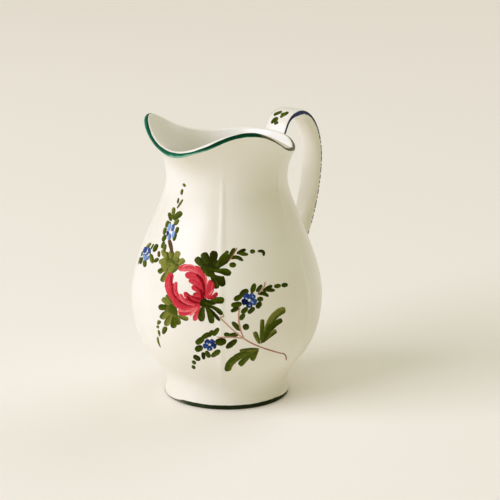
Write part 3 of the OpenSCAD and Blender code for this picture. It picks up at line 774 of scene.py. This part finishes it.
climbingSprig = [   # on the upper sheet, to the left of the neck
    (790, 120, 826, 160, 44), (782, 192, 768, 272, 42), (732, 314, 716, 390, 32), (790, 332, 708, 456, 34),
    (668, 440, 652, 556, 58), (602, 512, 628, 628, 58), (776, 504, 668, 594, 92), (728, 604, 674, 684, 64),
    (630, 550, 696, 620, 52), (592, 622, 558, 716, 56), (554, 716, 528, 812, 56), (556, 814, 512, 906, 64),
    (534, 904, 500, 1000, 52), (550, 940, 526, 1056, 56), (722, 708, 696, 798, 56), (694, 792, 662, 900, 56),
    (620, 640, 590, 690, 40),
]
leftFloretLeaves = [
    (354, 926, 292, 996, 46), (392, 940, 346, 1020, 28), (442, 942, 388, 1048, 68),
    (240, 1044, 226, 1110, 34), (210, 1116, 186, 1222, 28), (238, 1122, 212, 1216, 36),
    (270, 1154, 268, 1256, 62), (348, 1074, 378, 1206, 66), (458, 1136, 394, 1186, 58),
    (330, 960, 310, 1000, 34),
]
upperLeaf = [   # lobed leaf at the upper left of the bloom
    (530, 1290, 705, 1265, 130), (515, 1410, 625, 1335, 92), (540, 1240, 740, 1235, 110),
    (510, 1020, 575, 1150, 84), (465, 1170, 570, 1210, 84), (452, 1330, 560, 1260, 82),
    (500, 1456, 575, 1310, 86), (530, 1130, 560, 1330, 130), (560, 1180, 690, 1250, 170),
    (735, 1240, 640, 1305, 572, 1410, 92), (748, 1252, 662, 1292, 585, 1405, 66), (560, 1050, 590, 1180, 80),
    (635, 1030, 625, 1160, 92),
]
# pale strokes over the upper left leaf: painted highlight where the key light falls on it
upperLeafHighlight = [(735, 1040, 665, 1180, 92), (812, 1150, 700, 1230, 92), (720, 1120, 650, 1240, 120)]
brownStrokes = [(598, 872, 622, 960, 642, 1070, 62), (462, 1036, 462, 1120, 46)]
upperFlorets = [   # seen from the side, so narrow
    (616, 658, 586, 776, 50), (664, 668, 640, 768, 54), (578, 762, 592, 838, 46), (614, 798, 596, 892, 52),
    (674, 764, 648, 858, 50), (296, 982, 260, 1064, 52), (324, 990, 340, 1074, 46),
    (260, 1072, 284, 1168, 56), (314, 1046, 294, 1096, 34), (322, 1100, 298, 1158, 42),
]
florets = [(1100, 648, 72, 70), (735, 1058, 64, 54)]   # x, y, half breadth and half height


# five petals round a bare middle, each a stroke from its tip inwards
def petals(places):
    x, y, broad, tall = np.array(places, float).T[:, :, None]
    turn = np.radians(np.arange(5) * 72 + 18) + 0 * x
    line = [(x + reach * broad * np.cos(turn), y + reach * tall * np.sin(turn)) for reach in (1.0, 0.6, 0.18)]
    width = 0.47 * (broad + tall) + 0 * turn
    return np.stack([v for point in line for v in point] + [width], -1).reshape(-1, 7)


floretPetals = petals(florets)
floretGleams = [
    (1065, 625, 1085, 640, 16), (1118, 660, 1140, 675, 14), (1095, 690, 1110, 702, 16),
    (1128, 612, 1140, 622, 12), (705, 1040, 722, 1052, 14), (752, 1075, 772, 1085, 12),
    (730, 1090, 738, 1100, 12),
]
# the leaves at the left take lighter tones than those at the right: partly their own greens, partly painted
# highlight where the key light falls
makePaint("leaf_paint", [
    (upperLeaf, toned(upperLeaf, 0.76), upperSheet, 0.35, 1.9, 0),
    (upperLeafHighlight, toned(upperLeafHighlight, 0.95), upperSheet, 0.35, 1.9, 0),
    (rightLeaf, toned(rightLeaf, 0.16), spraySheet, 0.26, 1.6, 0),
    (leftLeaf, toned(leftLeaf, 0.66), spraySheet, 0.34, 1.9, 0),
    (sprigLeaves, toned(sprigLeaves, 0.3, 0.25), spraySheet, 0.5, 2.3, 1),
    (toothedLeaves, toned(toothedLeaves, 0.58), spraySheet, 0.3, 2.3, 0),
    (climbingSprig, toned(climbingSprig, 0.6), upperSheet, 0.45, 2.3, 1),
    (lowLeaf, toned(lowLeaf, 0.16), spraySheet, 0.27, 1.7, 5),
    (leftFloretLeaves, toned(leftFloretLeaves, 0.6), upperSheet, 0.45, 2.3, 1),
], leafGreen, "leaf_enamel")
makePaint("bloom_paint", [
    ([v[:7] for v in bloomStrokes], [v[7] for v in bloomStrokes], spraySheet, 0.4, 2.2,
     np.arange(len(bloomStrokes)) // 9 + 1),
], bloomRed, "bloom_enamel")
makePaint("floret_paint", [
    (floretPetals, toned(floretPetals, 0.3, 0.3), spraySheet, 0.4, 2.6, 2),
    (floretGleams, toned(floretGleams, 1.0, 0.1), spraySheet, 0.5, 2.3, 3),
    (upperFlorets, toned(upperFlorets, 0.65, 0.3), upperSheet, 0.5, 2.3, 2),
], floretBlue, "floret_enamel")
makePaint("stem_paint", [
    (stemStrokes, toned(stemStrokes, 0.6, 0.3), spraySheet, 0.5, 5.0, 3),
    (brownStrokes, toned(brownStrokes, -0.2, 0.1), upperSheet, 0.5, 2.3, 1),
], stemBrown, "stem_enamel")


# on the strap's outer face: mm along from the crown, and mm across towards +Y
def strapSpot(x, y, lift):
    t = 1 + x / strapShape["crownPace"]
    side = np.clip(y / np.interp(t, [0, 1, 3], strapShape["halfWidths"]), -0.99, 0.99)
    return strapSkin(t, np.arccos(np.sign(side) * np.abs(side) ** (strapShape["squareness"] / 2)), lift)


handleStrokes = [
    (-5.9, 3.8, -4.7, 2.5, -3.0, 1.4, 2.7), (-5.0, 2.2, -3.5, 0.9, 2.0),
    (-3.0, -2.5, -4.4, -1.7, -5.8, -1.5, 2.9), (-3.8, -0.3, -5.2, -0.9, 2.3), (-4.4, -1.7, -6.8, -0.7, 2.3),
    (-10.4, 2.5, -8.6, 2.2, -6.9, 1.3, 2.1), (-6.8, 0.8, -8.5, 0.8, -10.7, 0.3, 2.1),
    (-9.0, 0.2, -10.0, -0.8, 1.6),
]
makePaint("handle_sprig_paint", [
    (handleStrokes, toned(handleStrokes, 0.45), strapSpot, 0.45, 2.3, 0),
], leafGreen, "handle_sprig_enamel")

# plain pale floor, a broad window-like key light at the left, a rim light behind at the right, a soft light
# above, and a warm surround
stageLook = {
    "floor": tint(251, 247, 238), "floorFar": tint(253, 247, 240), "floorHalf": 4.0, "floorLines": 9,
    "surround": (1.0, 0.972, 0.45), "surroundStrength": 0.34,
    "aim": (0, 0, 0.06),     # metres, where the lamps point
    "lamps": [   # name, place in metres, breadth and height in metres, watts, colour
        ("key", (-1.84, 0.83, 1.31), 2.0, 1.0, 46.0, (0.79, 0.785, 1.0)),
        ("rim", (3.05, -0.28, 2.57), 3.0, 3.0, 42.0, (0.80, 0.74, 1.0)),
        ("top", (0.0, 0.0, 4.0), 3.0, 3.0, 32.0, (0.85, 0.88, 1.0)),
    ],
}


def makeFloor():
    f = Finish("pale_floor", Roughness=0.75)
    spot = f.add("ShaderNodeTexCoord", {}, {}, "Object")
    grain = f.noise(spot, 3, 2)
    away = f.add("ShaderNodeVectorMath", {"operation": "LENGTH"}, {0: spot}, "Value")
    f.feed(Base_Color=f.mix(away.fade(0.1, 0.9) + grain * 0.06, stageLook["floor"], stageLook["floorFar"]))
    half, lines = stageLook["floorHalf"], stageLook["floorLines"]
    x, y = np.meshgrid(np.linspace(-half, half, lines), np.linspace(-half, half, lines))
    mesh = bpy.data.meshes.new("floor")
    mesh.from_pydata(np.stack([x, y, 0 * x], -1).reshape(-1, 3).tolist(), [],
                     gridFaces(lines, lines, False, False).tolist())
    mesh.materials.append(f.material)
    floor = bpy.data.objects.new("floor", mesh)
    bpy.context.scene.collection.objects.link(floor)


def aimAt(thing, place, target):
    thing.location = place
    thing.rotation_euler = (Vector(target) - Vector(place)).to_track_quat("-Z", "Y").to_euler()


def makeLights():
    world = bpy.data.worlds.new("surround")
    world.use_nodes = True
    back = world.node_tree.nodes["Background"]
    back.inputs["Color"].default_value = (*stageLook["surround"], 1)
    back.inputs["Strength"].default_value = stageLook["surroundStrength"]
    bpy.context.scene.world = world
    for name, place, broad, tall, watts, colour in stageLook["lamps"]:
        lamp = bpy.data.lights.new(name, "AREA")
        lamp.shape, lamp.size, lamp.size_y, lamp.energy, lamp.color = "RECTANGLE", broad, tall, watts, colour
        light = bpy.data.objects.new(name, lamp)
        bpy.context.scene.collection.objects.link(light)
        aimAt(light, place, stageLook["aim"])


def makeCamera():
    data = bpy.data.cameras.new("camera")
    camera = bpy.data.objects.new("camera", data)
    bpy.context.scene.collection.objects.link(camera)
    side, tilt = np.radians(photoView["azimuth"]), np.radians(photoView["elevation"])
    back = np.array([np.sin(side) * np.cos(tilt), -np.cos(side) * np.cos(tilt), np.sin(tilt)])
    aim = np.array([0, 0, photoView["aim"]])
    aimAt(camera, (aim + back * photoView["distance"]) * mm, aim * mm)
    size = photoView["picture"]
    data.lens = data.sensor_width * photoView["focal"] / size
    data.shift_x = (size / 2 - photoView["aimPixel"][0]) / size
    data.shift_y = (photoView["aimPixel"][1] - size / 2) / size
    bpy.context.scene.camera = camera


makeFloor()
makeLights()
makeCamera()
bpy.context.scene.view_settings.view_transform = "Standard"
print("stage set")
